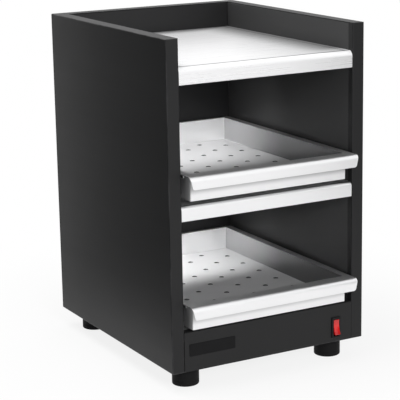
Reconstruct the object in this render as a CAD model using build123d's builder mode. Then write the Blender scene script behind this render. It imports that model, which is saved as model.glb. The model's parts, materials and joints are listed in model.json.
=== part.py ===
# Counter-top cup warmer: a double-skinned folded steel cabinet with a heated gallery top,
# a heated middle shelf, a heated base deck and two perforated stainless drawers on telescopic slides.
# Millimetres. X runs across, Y from front to back, Z up from the floor. The front faces -Y.

import os
from math import cos, radians, sin, tan

from build123d import *

os.makedirs("parts", exist_ok=True)

# Cabinet body, from the floor up
body_width = 328.0
body_depth = 381.0
foot_height = 30.0
fascia_height = 59.0
lower_drawer_gap = 3.0
drawer_height = 38.5
lower_cup_space = 121.5
shelf_nose_height = 22.0
upper_drawer_gap = 7.0
upper_cup_space = 126.0
top_nose_height = 25.0
gallery_height = 40.5

# Sheet metal
panel_thickness = 20.0
skin_sheet = 1.0
lining_sheet = 1.0
lining_flange = 9.0
cover_sheet = 1.0
panel_bend = 1.5
panel_return = 10.0
lining_bend = 1.2
shelf_sheet = 1.0
nose_setback = 0.5
shelf_nose_bend = 6.0
top_nose_bend = 8.0
nose_return = 12.0
return_bend = 1.5
fascia_sheet = 1.2
fascia_flange = 14.0
pan_sheet = 1.2
pan_wall = 7.0
deck_flange = 12.0
fit_gap = 0.2
touch_gap = 0.3

# Drawers
lip_reach = 22.0
lip_drop = 18.0
lip_bend = 7.0
lip_slant = 4.0
lip_corner = 4.0
front_proud = 2.0
drawer_back_gap = 8.0
slide_space = 13.0
frame_sheet = 1.0
frame_ledge = 15.0
tray_sheet = 0.8
tray_corner = 2.5
rim_side = 10.0
rim_back = 4.0
hem_depth = 4.0
hole_diameter = 7.0
hole_column_pitch = 35.0
hole_row_pitch = 51.0
hole_shift = 3.0

# Telescopic slides
slide_height = 30.0
slide_length = 325.0
slide_setback = 24.0
slide_sheet = 1.2
slide_bend = 1.4
slide_running_gap = 0.3
slide_lip = 1.5
slide_screw_diameter = 4.0
slide_screw_head = 6.4
slide_screw_length = 8.0
slide_screw_inset = 40.0

# Heaters and limiters under the warm surfaces
heater_tube = 6.4
heater_pitch = 150.0
heater_runs = 2
heater_turn_inset = 105.0
heater_reach_back = 5.0
heater_pin = 3.0
heater_pin_length = 6.0
heater_hole = 8.0
clamp_width = 12.0
clamp_sheet = 1.2
clamp_bend = 1.5
clamp_foot = 12.0
clamp_inset = 110.0
clamp_overhang = 14.0
limiter_diameter = 16.0
limiter_height = 7.0
limiter_flange = 24.0
limiter_flange_height = 1.2
limiter_tab_width = 6.3
limiter_tab_thickness = 0.8
limiter_tab_length = 7.0
limiter_tab_spread = 8.0

# Switch and name plate on the base fascia
switch_inset = 48.0
switch_rise = 22.5
bezel_width = 15.5
bezel_height = 32.5
bezel_thickness = 2.2
bezel_corner = 1.5
bezel_edge = 0.6
switch_body_width = 13.2
switch_body_height = 28.8
switch_body_depth = 20.0
rocker_width = 9.4
rocker_half = 11.8
rocker_middle = 5.5
rocker_side_gap = 0.25
rocker_end_gap = 0.4
rocker_tilt = 10.0
rocker_proud = 0.5
rocker_shoulder = 1.5
rocker_hub_wall = 1.0
rocker_edge = 0.5
trunnion_radius = 1.25
trunnion_length = 0.9
trunnion_gap = 0.05
tab_width = 4.8
tab_thickness = 0.8
tab_length = 8.0
tab_pitch = 9.0
plate_width = 76.0
plate_height = 18.5
plate_thickness = 0.6
plate_corner = 1.5
plate_inset = 66.0
plate_rise = 31.5

# Feet
foot_diameter = 40.0
foot_top_diameter = 32.0
foot_taper = 5.0
foot_chamfer = 2.0
foot_inset_x = 40.0
foot_inset_y = 36.0
foot_recess_diameter = 16.0
foot_recess_depth = 15.0
foot_screw_diameter = 5.0
foot_screw_head = 10.0
foot_screw_head_height = 3.5
foot_screw_chamfer = 1.4
foot_nut_flats = 8.0
foot_nut_height = 4.0
thread_gap = 0.05
screw_clearance = 0.3

# Back cover, mains inlet and wiring
cover_screw_diameter = 4.0
cover_screw_head = 8.0
cover_screw_head_height = 2.0
cover_screw_chamfer = 0.9
cover_screw_length = 9.0
cover_screw_rows = 3
cover_screw_inset = 7.0
cover_screw_margin = 30.0
vent_slot_length = 26.0
vent_slot_width = 4.0
vent_pitch = 9.0
vent_count = 6
vent_x = 60.0
inlet_inset = 74.0
inlet_rise = 30.0
inlet_flange_width = 50.0
inlet_flange_height = 24.0
inlet_flange_thickness = 2.0
inlet_body_width = 27.0
inlet_body_height = 19.6
inlet_body_depth = 26.0
inlet_socket_width = 24.2
inlet_socket_height = 16.4
inlet_socket_depth = 17.0
inlet_socket_bevel = 4.0
inlet_screw_spacing = 40.0
inlet_screw_diameter = 3.0
inlet_screw_head = 5.6
inlet_screw_length = 10.0
inlet_pin_width = 2.0
inlet_pin_height = 4.0
inlet_pin_length = 14.0
inlet_pin_spacing = 7.0
inlet_pin_offset = 2.0
inlet_tail = 9.0
block_length = 44.0
block_depth = 20.0
block_height = 16.0
block_poles = 4
block_barrier = 3.0
block_notch = 5.0
block_well = 5.5
block_well_depth = 10.0
block_x = 20.0
block_inset = 40.0
loom_diameter = 6.0
loom_bend = 12.0

# Levels and planes worked out from the sizes above
body_bottom = foot_height
fascia_top = body_bottom + fascia_height
lower_drawer_bottom = fascia_top + lower_drawer_gap
lower_rim = lower_drawer_bottom + drawer_height
shelf_bottom = lower_rim + lower_cup_space
shelf_top = shelf_bottom + shelf_nose_height
upper_drawer_bottom = shelf_top + upper_drawer_gap
upper_rim = upper_drawer_bottom + drawer_height
top_bottom = upper_rim + upper_cup_space
top_level = top_bottom + top_nose_height
body_top = top_level + gallery_height
body_height = body_top - body_bottom
body_middle = (body_top + body_bottom) / 2
overall_depth = lip_reach + body_depth + cover_screw_head_height
front = lip_reach - overall_depth / 2
back = front + body_depth
panel_back = back - cover_sheet
wall_face = back - panel_thickness
body_half = body_width / 2
opening_half = body_half - panel_thickness
insert_half = opening_half - fit_gap
insert_back = wall_face - fit_gap
deck_top = fascia_top - fascia_sheet
drawer_half = opening_half - slide_space
drawer_front = front - front_proud
drawer_back = wall_face - drawer_back_gap
rim_half = drawer_half + rim_side
switch_x = body_half - switch_inset
switch_z = body_bottom + switch_rise
plate_x = -body_half + plate_inset
plate_z = body_bottom + plate_rise
inlet_x = -body_half + inlet_inset
inlet_z = body_bottom + inlet_rise


def across(x):
    # A plane facing +X, with Y and Z as its own axes.
    return Plane.YZ.offset(x)


def facing(y):
    # A plane facing the front, with X and Z as its own axes. It extrudes towards the front.
    return Plane.XZ.offset(-y)


def level(z):
    return Plane.XY.offset(z)


def save(piece, name):
    piece.part.label = name
    export_step(piece.part, f"parts/{name}.step")
    print(name, round(piece.part.volume, 1))


def bent_sheet(points, bends, thickness, side):
    # The section of a folded sheet: its outer line with rounded bends, thickened to one side.
    with BuildSketch() as section:
        with BuildLine():
            FilletPolyline(*points, radius=bends)
            offset(amount=thickness, side=side)
        make_face()
    return section.sketch


def side_panel(side, hand):
    outward = Axis((0, 0, 0), (side, 0, 0))
    with BuildPart() as skin:
        with BuildSketch(across(side * opening_half)):
            with Locations(((front + panel_back) / 2, body_middle)):
                Rectangle(panel_back - front, body_height)
        extrude(amount=side * panel_thickness)
        fillet(skin.faces().sort_by(outward)[-1].edges(), panel_bend)
        offset(amount=-skin_sheet, openings=skin.faces().sort_by(outward)[0])
        # The front flange turns back along the opening, and the lining starts behind it.
        with BuildSketch(across(side * opening_half)):
            with Locations((front + panel_return / 2, body_middle)):
                Rectangle(panel_return, body_height)
        extrude(amount=side * skin_sheet)
        fillet(skin.edges().filter_by(Axis.Z).group_by(outward)[0].sort_by(Axis.Y)[0], panel_bend)
        with BuildSketch(facing(panel_back)):
            with Locations(*cover_screw_places()):
                Circle((cover_screw_diameter + screw_clearance) / 2)
        extrude(amount=2 * skin_sheet, mode=Mode.SUBTRACT)
    save(skin, f"{hand}_outer_panel")

    # The lining nests inside the flanges of the skin.
    nest = skin_sheet + fit_gap
    lining_front = front + panel_return + fit_gap
    lining_back = panel_back - nest
    with BuildPart() as lining:
        with BuildSketch(across(side * opening_half)):
            with Locations(((lining_front + lining_back) / 2, body_middle)):
                Rectangle(lining_back - lining_front, body_height - 2 * nest)
        extrude(amount=side * lining_flange)
        fillet(lining.faces().sort_by(outward)[0].edges(), lining_bend)
        offset(amount=-lining_sheet, openings=lining.faces().sort_by(outward)[-1])
        with BuildSketch(across(side * opening_half)):
            with Locations(*slide_screw_places()):
                Circle((slide_screw_diameter + screw_clearance) / 2)
        extrude(amount=side * lining_sheet, mode=Mode.SUBTRACT)
    save(lining, f"{hand}_inner_panel")


def cover_screw_places():
    # X and Z of the screws that hold the back cover to the two side panels.
    span = body_height - 2 * cover_screw_margin
    places = []
    for row in range(cover_screw_rows):
        z = body_bottom + cover_screw_margin + span * row / (cover_screw_rows - 1)
        for side in (-1, 1):
            places.append((side * (body_half - cover_screw_inset), z))
    return places


def slide_middle(drawer_bottom):
    return drawer_bottom + (drawer_height - hem_depth) / 2


def slide_screw_places():
    # Y and Z of the screws that hold the cabinet members to the linings.
    first = front + slide_setback + slide_screw_inset
    last = front + slide_setback + slide_length - slide_screw_inset
    places = []
    for bottom in (lower_drawer_bottom, upper_drawer_bottom):
        for y in (first, last):
            places.append((y, slide_middle(bottom)))
    return places


def back_cover():
    with BuildPart() as cover:
        folds = [(wall_face, body_bottom), (back, body_bottom), (back, body_top), (wall_face, body_top)]
        with BuildSketch(across(-insert_half)):
            add(bent_sheet(folds, panel_bend, cover_sheet, Side.LEFT))
        extrude(amount=2 * insert_half)
        with BuildSketch(facing(back)):
            with Locations((0, body_middle)):
                RectangleRounded(body_width, body_height, panel_bend)
        extrude(amount=cover_sheet)
        with BuildSketch(facing(back)):
            with Locations(*cover_screw_places()):
                Circle((cover_screw_diameter + screw_clearance) / 2)
            with Locations((inlet_x, inlet_z)):
                Rectangle(inlet_body_width + 2 * fit_gap, inlet_body_height + 2 * fit_gap)
                with GridLocations(inlet_screw_spacing, 0, 2, 1):
                    Circle((inlet_screw_diameter + screw_clearance) / 2)
            with Locations((vent_x, inlet_z)):
                with GridLocations(vent_pitch, 0, vent_count, 1):
                    SlotOverall(vent_slot_length, vent_slot_width, rotation=90)
        extrude(amount=cover_sheet, mode=Mode.SUBTRACT)
    save(cover, "back_outer_panel")

    with BuildPart() as screws:
        with BuildSketch(facing(back + cover_screw_head_height)):
            with Locations(*cover_screw_places()):
                Circle(cover_screw_head / 2)
        extrude(amount=cover_screw_head_height)
        chamfer(screws.faces().filter_by(Axis.Y).group_by(Axis.Y)[-1].edges(), cover_screw_chamfer)
        with BuildSketch(facing(back)):
            with Locations(*cover_screw_places()):
                Circle(cover_screw_diameter / 2)
        extrude(amount=cover_screw_length)
    save(screws, "cover_screws")


def back_lining():
    bottom = deck_top + fit_gap
    top = body_top - cover_sheet - fit_gap
    with BuildPart() as lining:
        with BuildSketch(facing(wall_face + lining_flange)):
            with Locations((0, (bottom + top) / 2)):
                Rectangle(2 * insert_half, top - bottom)
        extrude(amount=lining_flange)
        fillet(lining.faces().sort_by(Axis.Y)[0].edges(), lining_bend)
        offset(amount=-lining_sheet, openings=lining.faces().sort_by(Axis.Y)[-1])
        with BuildSketch(facing(wall_face)):
            for underside in (shelf_top - shelf_sheet, top_level - shelf_sheet):
                with Locations((0, heater_level(underside))):
                    with GridLocations((heater_runs - 1) * heater_pitch, 0, 2, 1):
                        Circle(heater_hole / 2)
        extrude(amount=-lining_sheet, mode=Mode.SUBTRACT)
    save(lining, "back_inner_panel")


def warm_shelf(name, bottom, top, nose_bend):
    # A flat plate with a rounded front nose, turned under at its foot.
    nose = front + nose_setback
    with BuildPart() as plate:
        folds = [(insert_back, top), (nose, top), (nose, bottom), (nose + nose_return, bottom)]
        with BuildSketch(across(-insert_half)):
            add(bent_sheet(folds, (nose_bend, return_bend), shelf_sheet, Side.LEFT))
        extrude(amount=2 * insert_half)
    save(plate, name)

    # The cover closes the heater space and stands on the turned edge of the nose.
    low = bottom + shelf_sheet
    high = top - shelf_sheet
    cover_front = nose + shelf_sheet + return_bend
    with BuildPart() as cover:
        folds = [(-insert_half, high), (-insert_half, low), (insert_half, low), (insert_half, high)]
        with BuildSketch(facing(insert_back)):
            add(bent_sheet(folds, return_bend, shelf_sheet, Side.LEFT))
        extrude(amount=insert_back - cover_front)
        # The side flanges stop short of the round nose.
        with BuildSketch(across(-insert_half)):
            with Locations((nose, (low + shelf_sheet + top) / 2)):
                Rectangle(2 * nose_bend + 2 * touch_gap, top - low - shelf_sheet)
        extrude(amount=2 * insert_half, mode=Mode.SUBTRACT)
    save(cover, f"{name}_cover")


def base_fascia():
    with BuildPart() as fascia:
        folds = [(front, body_bottom), (front, fascia_top), (front + fascia_flange, fascia_top)]
        with BuildSketch(across(-insert_half)):
            add(bent_sheet(folds, return_bend, fascia_sheet, Side.RIGHT))
        extrude(amount=2 * insert_half)
        with BuildSketch(facing(front)):
            with Locations((switch_x, switch_z)):
                Rectangle(switch_body_width + fit_gap, switch_body_height + fit_gap)
        extrude(amount=-fascia_sheet, mode=Mode.SUBTRACT)
    save(fascia, "base_fascia")

    with BuildPart() as plate:
        with BuildSketch(facing(front)):
            with Locations((plate_x, plate_z)):
                RectangleRounded(plate_width, plate_height, plate_corner)
        extrude(amount=plate_thickness)
    save(plate, "blank_plate")


def foot_places():
    x = body_half - foot_inset_x
    places = []
    for end, y in (("front", front + foot_inset_y), ("rear", back - foot_inset_y)):
        for hand, side in (("left", -1), ("right", 1)):
            places.append((f"{end}_{hand}", side * x, y))
    return places


def base_pan():
    pan_front = front + fascia_sheet + fit_gap
    with BuildPart() as pan:
        with BuildSketch(level(body_bottom)):
            with Locations((0, (pan_front + insert_back) / 2)):
                Rectangle(2 * insert_half, insert_back - pan_front)
        extrude(amount=pan_wall)
        fillet(pan.faces().sort_by(Axis.Z)[0].edges(), return_bend)
        offset(amount=-pan_sheet, openings=pan.faces().sort_by(Axis.Z)[-1])
        with BuildSketch(level(body_bottom)):
            with Locations(*[(x, y) for _, x, y in foot_places()]):
                Circle((foot_screw_diameter + screw_clearance) / 2)
            with GridLocations(vent_pitch, 0, vent_count, 1):
                SlotOverall(vent_slot_length, vent_slot_width, rotation=90)
        extrude(amount=pan_sheet, mode=Mode.SUBTRACT)
    save(pan, "base_pan")


def base_deck():
    deck_front = front + fascia_sheet + fit_gap
    low = deck_top - deck_flange
    with BuildPart() as deck:
        folds = [(-insert_half, low), (-insert_half, deck_top), (insert_half, deck_top), (insert_half, low)]
        with BuildSketch(facing(insert_back)):
            add(bent_sheet(folds, return_bend, shelf_sheet, Side.RIGHT))
        extrude(amount=insert_back - deck_front)
        # The front corners clear the bend of the fascia.
        with BuildSketch(across(-insert_half)):
            with Locations((deck_front, deck_top)):
                Rectangle(2 * return_bend, 2 * return_bend)
        extrude(amount=2 * insert_half, mode=Mode.SUBTRACT)
    save(deck, "base_deck")


def feet():
    radius = foot_diameter / 2
    bore = (foot_screw_diameter + screw_clearance) / 2
    recess = foot_recess_diameter / 2
    for place, x, y in foot_places():
        with BuildPart() as foot:
            with BuildSketch(Plane(origin=(x, y, 0), x_dir=(1, 0, 0), z_dir=(0, -1, 0))):
                with BuildLine():
                    Polyline(
                        (recess, 0),
                        (radius - foot_chamfer, 0),
                        (radius, foot_chamfer),
                        (radius, foot_height - foot_taper),
                        (foot_top_diameter / 2, foot_height),
                        (bore, foot_height),
                        (bore, foot_recess_depth),
                        (recess, foot_recess_depth),
                        close=True,
                    )
                make_face()
            revolve(axis=Axis((x, y, 0), (0, 0, 1)))
        save(foot, f"foot_{place}")

    centres = [(x, y) for _, x, y in foot_places()]
    pan_floor = body_bottom + pan_sheet
    nut_top = pan_floor + foot_nut_height
    with BuildPart() as screws:
        with BuildSketch(level(foot_recess_depth - foot_screw_head_height)):
            with Locations(*centres):
                Circle(foot_screw_head / 2)
        extrude(amount=foot_screw_head_height)
        chamfer(screws.faces().sort_by(Axis.Z)[: len(centres)].edges(), foot_screw_chamfer)
        with BuildSketch(level(foot_recess_depth)):
            with Locations(*centres):
                Circle(foot_screw_diameter / 2)
        extrude(amount=nut_top + foot_screw_diameter / 2 - foot_recess_depth)
    save(screws, "foot_screws")

    with BuildPart() as nuts:
        with BuildSketch(level(pan_floor)):
            with Locations(*centres):
                RegularPolygon(foot_nut_flats / 2, 6, major_radius=False)
                Circle(foot_screw_diameter / 2 + thread_gap, mode=Mode.SUBTRACT)
        extrude(amount=foot_nut_height)
    save(nuts, "foot_nuts")


def heater_level(underside):
    return underside - touch_gap - heater_tube / 2


def heater(name, underside, exit_y):
    z = heater_level(underside)
    turn_front = front + heater_turn_inset
    turn_back = wall_face - heater_turn_inset
    half = heater_pitch / 2
    with BuildPart() as element:
        with BuildLine(level(z)) as path:
            for run in range(heater_runs):
                x = (run - (heater_runs - 1) / 2) * heater_pitch
                outer_run = run in (0, heater_runs - 1)
                rear = exit_y if outer_run else turn_back
                if run % 2 == 0:
                    Line((x, rear), (x, turn_front))
                    turn, bulge = turn_front, -half
                else:
                    Line((x, turn_front), (x, rear))
                    turn, bulge = turn_back, half
                if run < heater_runs - 1:
                    ThreePointArc((x, turn), (x + half, turn + bulge), (x + heater_pitch, turn))
        first_x = -(heater_runs - 1) / 2 * heater_pitch
        with BuildSketch(Plane(origin=(first_x, exit_y, z), z_dir=(0, -1, 0))):
            Circle(heater_tube / 2)
        sweep(path=path.wires()[0])
        with BuildSketch(facing(exit_y + heater_pin_length)):
            with Locations((0, z)):
                with GridLocations(-2 * first_x, 0, 2, 1):
                    Circle(heater_pin / 2)
        extrude(amount=heater_pin_length)
    save(element, f"{name}_heater")

    # Hat-shaped straps hold the tube up against the plate.
    strap_half = -first_x + heater_tube / 2 + clamp_overhang
    strap_low = z - heater_tube / 2 - touch_gap
    tab_half = strap_half + clamp_foot
    with BuildPart() as clamps:
        folds = [
            (-tab_half, underside),
            (-strap_half, underside),
            (-strap_half, strap_low),
            (strap_half, strap_low),
            (strap_half, underside),
            (tab_half, underside),
        ]
        for y in (front + clamp_inset, wall_face - clamp_inset):
            with BuildSketch(facing(y + clamp_width / 2)):
                add(bent_sheet(folds, clamp_bend, clamp_sheet, Side.RIGHT))
            extrude(amount=clamp_width)
    save(clamps, f"{name}_heater_clamps")

    # A bimetal limiter sits on the plate between two runs of the tube.
    body_low = underside - limiter_flange_height - limiter_height
    with BuildPart() as limiter:
        with BuildSketch(level(underside - limiter_flange_height)):
            with Locations((0, (front + wall_face) / 2)):
                Circle(limiter_flange / 2)
        extrude(amount=limiter_flange_height)
        with BuildSketch(level(body_low)):
            with Locations((0, (front + wall_face) / 2)):
                Circle(limiter_diameter / 2)
        extrude(amount=limiter_height)
        with BuildSketch(level(body_low - limiter_tab_length)):
            with Locations((0, (front + wall_face) / 2)):
                with GridLocations(limiter_tab_spread, 0, 2, 1):
                    Rectangle(limiter_tab_thickness, limiter_tab_width)
        extrude(amount=limiter_tab_length)
    save(limiter, f"{name}_limiter")


def slide_plane(side, z):
    # A plane across the slide: its own X runs from the lining towards the drawer, its own Y up.
    return Plane(origin=(side * opening_half, front + slide_setback, z), x_dir=(-side, 0, 0), z_dir=(0, side, 0))


def slide(name, side, z):
    half = slide_height / 2
    step = slide_sheet + slide_running_gap
    lip_out = slide_space - slide_sheet - 2 * slide_running_gap
    cabinet_folds = [
        (lip_out, half - slide_sheet - slide_lip),
        (lip_out, half),
        (0, half),
        (0, -half),
        (lip_out, -half),
        (lip_out, -half + slide_sheet + slide_lip),
    ]
    middle_half = half - step
    middle_out = lip_out - step
    middle_folds = [
        (middle_out, middle_half),
        (step, middle_half),
        (step, -middle_half),
        (middle_out, -middle_half),
    ]
    drawer_member_half = middle_half - step
    drawer_in = 2 * step + slide_bend
    drawer_folds = [
        (drawer_in, drawer_member_half),
        (slide_space, drawer_member_half),
        (slide_space, -drawer_member_half),
        (drawer_in, -drawer_member_half),
    ]
    first = slide_screw_inset
    last = slide_length - slide_screw_inset

    with BuildPart() as cabinet_member:
        with BuildSketch(slide_plane(side, z)):
            add(bent_sheet(cabinet_folds, slide_bend, slide_sheet, Side.LEFT))
        extrude(amount=side * slide_length)
        for y in (first, last):
            with Locations(Plane(origin=(side * (opening_half - slide_sheet), front + slide_setback + y, z),
                                 z_dir=(-side, 0, 0))):
                CounterSinkHole(
                    (slide_screw_diameter + screw_clearance) / 2,
                    (slide_screw_head + screw_clearance) / 2,
                    depth=slide_sheet,
                    counter_sink_angle=90,
                )
    save(cabinet_member, f"{name}_cabinet_member")

    with BuildPart() as middle_member:
        with BuildSketch(slide_plane(side, z)):
            add(bent_sheet(middle_folds, slide_bend, slide_sheet, Side.LEFT))
        extrude(amount=side * slide_length)
    save(middle_member, f"{name}_middle_member")

    with BuildPart() as drawer_member:
        with BuildSketch(slide_plane(side, z)):
            add(bent_sheet(drawer_folds, slide_bend, slide_sheet, Side.RIGHT))
        extrude(amount=side * slide_length)
    save(drawer_member, f"{name}_drawer_member")


def slide_screws():
    # Countersunk screws, flush inside the channel, into the linings.
    head = slide_screw_head / 2
    shank = slide_screw_diameter / 2
    with BuildPart() as screws:
        for side in (-1, 1):
            for y, z in slide_screw_places():
                x = side * (opening_half - slide_sheet)
                with BuildSketch(Plane(origin=(x, y, z), x_dir=(0, 1, 0), z_dir=(0, 0, -side))):
                    with BuildLine():
                        Polyline(
                            (0, 0),
                            (head, 0),
                            (shank, head - shank),
                            (shank, slide_screw_length),
                            (0, slide_screw_length),
                            close=True,
                        )
                    make_face()
                revolve(axis=Axis((x, y, z), (side, 0, 0)))
    save(screws, "slide_screws")


def drawer(name, bottom):
    rim = bottom + drawer_height
    under_rim = rim - tray_sheet
    middle_y = (drawer_front + drawer_back) / 2
    frame_length = drawer_back - drawer_front
    with BuildPart() as frame:
        with BuildSketch(level(bottom)):
            with Locations((0, middle_y)):
                Rectangle(2 * drawer_half, frame_length)
        extrude(amount=under_rim - bottom)
        fillet(frame.edges().filter_by(Axis.Z), return_bend)
        offset(amount=-frame_sheet, openings=frame.faces().sort_by(Axis.Z)[-1])
        with BuildSketch(level(bottom)):
            with Locations((0, middle_y)):
                Rectangle(2 * (drawer_half - frame_ledge), frame_length - 2 * frame_ledge)
        extrude(amount=frame_sheet, mode=Mode.SUBTRACT)
    save(frame, f"{name}_drawer_frame")

    # The rolled lip: over the front edge, round, and down, with slanted ends.
    inset = frame_sheet + fit_gap
    wall_front = drawer_front + inset
    lip_front = front - lip_reach
    with BuildPart() as lip:
        with BuildSketch(across(-rim_half)):
            folds = [(wall_front + tray_corner, rim), (lip_front, rim), (lip_front, rim - lip_drop)]
            add(bent_sheet(folds, lip_bend, tray_sheet, Side.LEFT))
        extrude(amount=2 * rim_half)
        with BuildSketch(facing(wall_front + tray_corner)):
            with BuildLine():
                Polyline(
                    (-rim_half, rim),
                    (rim_half, rim),
                    (rim_half - lip_slant, rim - lip_drop),
                    (-rim_half + lip_slant, rim - lip_drop),
                    close=True,
                )
            outline = make_face()
            fillet(outline.vertices().group_by(Axis.Y)[0], lip_corner)
        extrude(amount=wall_front + tray_corner - lip_front, mode=Mode.INTERSECT)

    floor = bottom + frame_sheet
    tray_length = frame_length - 2 * inset
    tray_half = drawer_half - inset
    with BuildPart() as tray:
        with BuildSketch(level(floor)):
            with Locations((0, middle_y)):
                Rectangle(2 * tray_half, tray_length)
        extrude(amount=rim - floor)
        fillet(tray.edges().filter_by(Axis.Z), tray_corner)
        fillet(tray.faces().sort_by(Axis.Z)[0].edges(), tray_corner)
        offset(amount=-tray_sheet, openings=tray.faces().sort_by(Axis.Z)[-1])
        mouth_half = tray_half - tray_sheet
        mouth_length = tray_length - 2 * tray_sheet
        rim_front = wall_front
        rim_rear = drawer_back + rim_back
        with BuildSketch(level(under_rim)) as rim_sheet:
            with Locations((0, (rim_front + rim_rear) / 2)):
                Rectangle(2 * rim_half, rim_rear - rim_front)
            fillet(rim_sheet.vertices().group_by(Axis.Y)[-1], tray_corner)
            with Locations((0, middle_y)):
                RectangleRounded(2 * mouth_half, mouth_length, tray_corner - tray_sheet, mode=Mode.SUBTRACT)
        extrude(amount=tray_sheet)
        with BuildSketch(level(rim - hem_depth)):
            with Locations((0, (wall_front + drawer_back) / 2)):
                with GridLocations(2 * rim_half - tray_sheet, 0, 2, 1):
                    Rectangle(tray_sheet, drawer_back - wall_front)
        extrude(amount=hem_depth - tray_sheet / 2)
        add(lip.part)
        with BuildSketch(level(floor)):
            with Locations((0, middle_y + hole_shift)):
                with GridLocations(2 * hole_column_pitch, hole_row_pitch, 4, 6):
                    Circle(hole_diameter / 2)
                with GridLocations(2 * hole_column_pitch, hole_row_pitch, 3, 7):
                    Circle(hole_diameter / 2)
        extrude(amount=tray_sheet, mode=Mode.SUBTRACT)
    save(tray, f"{name}_drawer_tray")


def rocker_switch():
    tilt = radians(rocker_tilt)
    flush = rocker_middle * cos(tilt)
    pivot_y = front - bezel_thickness - rocker_proud + flush
    end = rocker_middle + rocker_half * tan(tilt)
    reach = end * sin(tilt) + rocker_half * cos(tilt)
    opening_height = 2 * (reach + rocker_end_gap)
    opening_width = rocker_width + 2 * rocker_side_gap
    hub = trunnion_radius + rocker_hub_wall
    shoulder = rocker_half - rocker_shoulder
    cavity_back = pivot_y + hub + shoulder * sin(tilt)
    bezel_front = front - bezel_thickness
    with BuildPart() as housing:
        with BuildSketch(facing(front)):
            with Locations((switch_x, switch_z)):
                RectangleRounded(bezel_width, bezel_height, bezel_corner)
        extrude(amount=bezel_thickness)
        chamfer(housing.faces().sort_by(Axis.Y)[0].edges(), bezel_edge)
        with BuildSketch(facing(front + switch_body_depth)):
            with Locations((switch_x, switch_z)):
                Rectangle(switch_body_width, switch_body_height)
        extrude(amount=switch_body_depth)
        with BuildSketch(facing(cavity_back)):
            with Locations((switch_x, switch_z)):
                Rectangle(opening_width, opening_height)
        extrude(amount=cavity_back - bezel_front, mode=Mode.SUBTRACT)
        with BuildSketch(across(switch_x - switch_body_width / 2)):
            with Locations((pivot_y, switch_z)):
                Circle(trunnion_radius + trunnion_gap)
        extrude(amount=switch_body_width, mode=Mode.SUBTRACT)
    save(housing, "switch_housing")

    with BuildPart() as tabs:
        with BuildSketch(facing(front + switch_body_depth + tab_length)):
            with Locations((switch_x, switch_z)):
                with GridLocations(0, tab_pitch, 1, 3):
                    Rectangle(tab_width, tab_thickness)
        extrude(amount=tab_length)
    save(tabs, "switch_tabs")

    # At rest the upper half is pressed in and the lower half stands out.
    forward = (0, -cos(tilt), sin(tilt))
    with BuildPart() as rocker:
        start = Plane(origin=(switch_x + rocker_width / 2, pivot_y, switch_z), x_dir=forward, z_dir=(-1, 0, 0))
        with BuildSketch(start) as section:
            with BuildLine():
                # The face that is pressed is hollow, from end to end.
                ThreePointArc((end, -rocker_half), (rocker_middle, 0), (end, rocker_half))
                Polyline(
                    (end, rocker_half),
                    (trunnion_radius, shoulder),
                    (-hub, hub),
                    (-hub, -hub),
                    (trunnion_radius, -shoulder),
                    (end, -rocker_half),
                )
            make_face()
        extrude(amount=rocker_width)
        for end_face in (0, -1):
            fillet(rocker.faces().sort_by(Axis.X)[end_face].edges(), rocker_edge)
        with BuildSketch(across(switch_x - rocker_width / 2 - trunnion_length)):
            with Locations((pivot_y, switch_z)):
                Circle(trunnion_radius)
        extrude(amount=rocker_width + 2 * trunnion_length)
    save(rocker, "rocker")
    print("rocker pivot", switch_x, round(pivot_y, 4), switch_z)


def mains_inlet():
    socket_half = inlet_socket_width / 2
    with BuildPart() as inlet:
        with BuildSketch(facing(back + inlet_flange_thickness)):
            with Locations((inlet_x, inlet_z)):
                RectangleRounded(inlet_flange_width, inlet_flange_height, panel_bend)
        extrude(amount=inlet_flange_thickness)
        with BuildSketch(facing(back)):
            with Locations((inlet_x, inlet_z)):
                Rectangle(inlet_body_width, inlet_body_height)
        extrude(amount=inlet_body_depth)
        # The socket has two bevelled corners, so that a plug goes in one way up.
        with BuildSketch(facing(back + inlet_flange_thickness)) as socket:
            with Locations((inlet_x, inlet_z)):
                Rectangle(inlet_socket_width, inlet_socket_height)
            chamfer(socket.vertices().group_by(Axis.Y)[-1], inlet_socket_bevel)
        extrude(amount=inlet_socket_depth, mode=Mode.SUBTRACT)
        with Locations(Plane(origin=(inlet_x, back + inlet_flange_thickness, inlet_z), x_dir=(-1, 0, 0),
                             z_dir=(0, 1, 0))):
            with GridLocations(inlet_screw_spacing, 0, 2, 1):
                CounterSinkHole(
                    (inlet_screw_diameter + screw_clearance) / 2,
                    (inlet_screw_head + screw_clearance) / 2,
                    depth=inlet_flange_thickness,
                    counter_sink_angle=90,
                )
        with BuildSketch(facing(back - inlet_body_depth)):
            with Locations(*inlet_pin_places()):
                Rectangle(inlet_pin_width, inlet_pin_height)
        extrude(amount=-inlet_body_depth, mode=Mode.SUBTRACT)
    save(inlet, "mains_inlet")

    socket_floor = back + inlet_flange_thickness - inlet_socket_depth
    with BuildPart() as pins:
        with BuildSketch(facing(socket_floor + inlet_pin_length)):
            with Locations(*inlet_pin_places()):
                Rectangle(inlet_pin_width, inlet_pin_height)
        extrude(amount=socket_floor + inlet_pin_length - (back - inlet_body_depth - inlet_tail))
    save(pins, "inlet_pins")

    head = inlet_screw_head / 2
    shank = inlet_screw_diameter / 2
    y = back + inlet_flange_thickness
    with BuildPart() as screws:
        for side in (-1, 1):
            x = inlet_x + side * inlet_screw_spacing / 2
            with BuildSketch(Plane(origin=(x, y, inlet_z), x_dir=(1, 0, 0), z_dir=(0, 0, 1))):
                with BuildLine():
                    Polyline(
                        (0, 0),
                        (head, 0),
                        (shank, shank - head),
                        (shank, -inlet_screw_length),
                        (0, -inlet_screw_length),
                        close=True,
                    )
                make_face()
            revolve(axis=Axis((x, y, inlet_z), (0, 1, 0)))
    save(screws, "inlet_screws")


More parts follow.
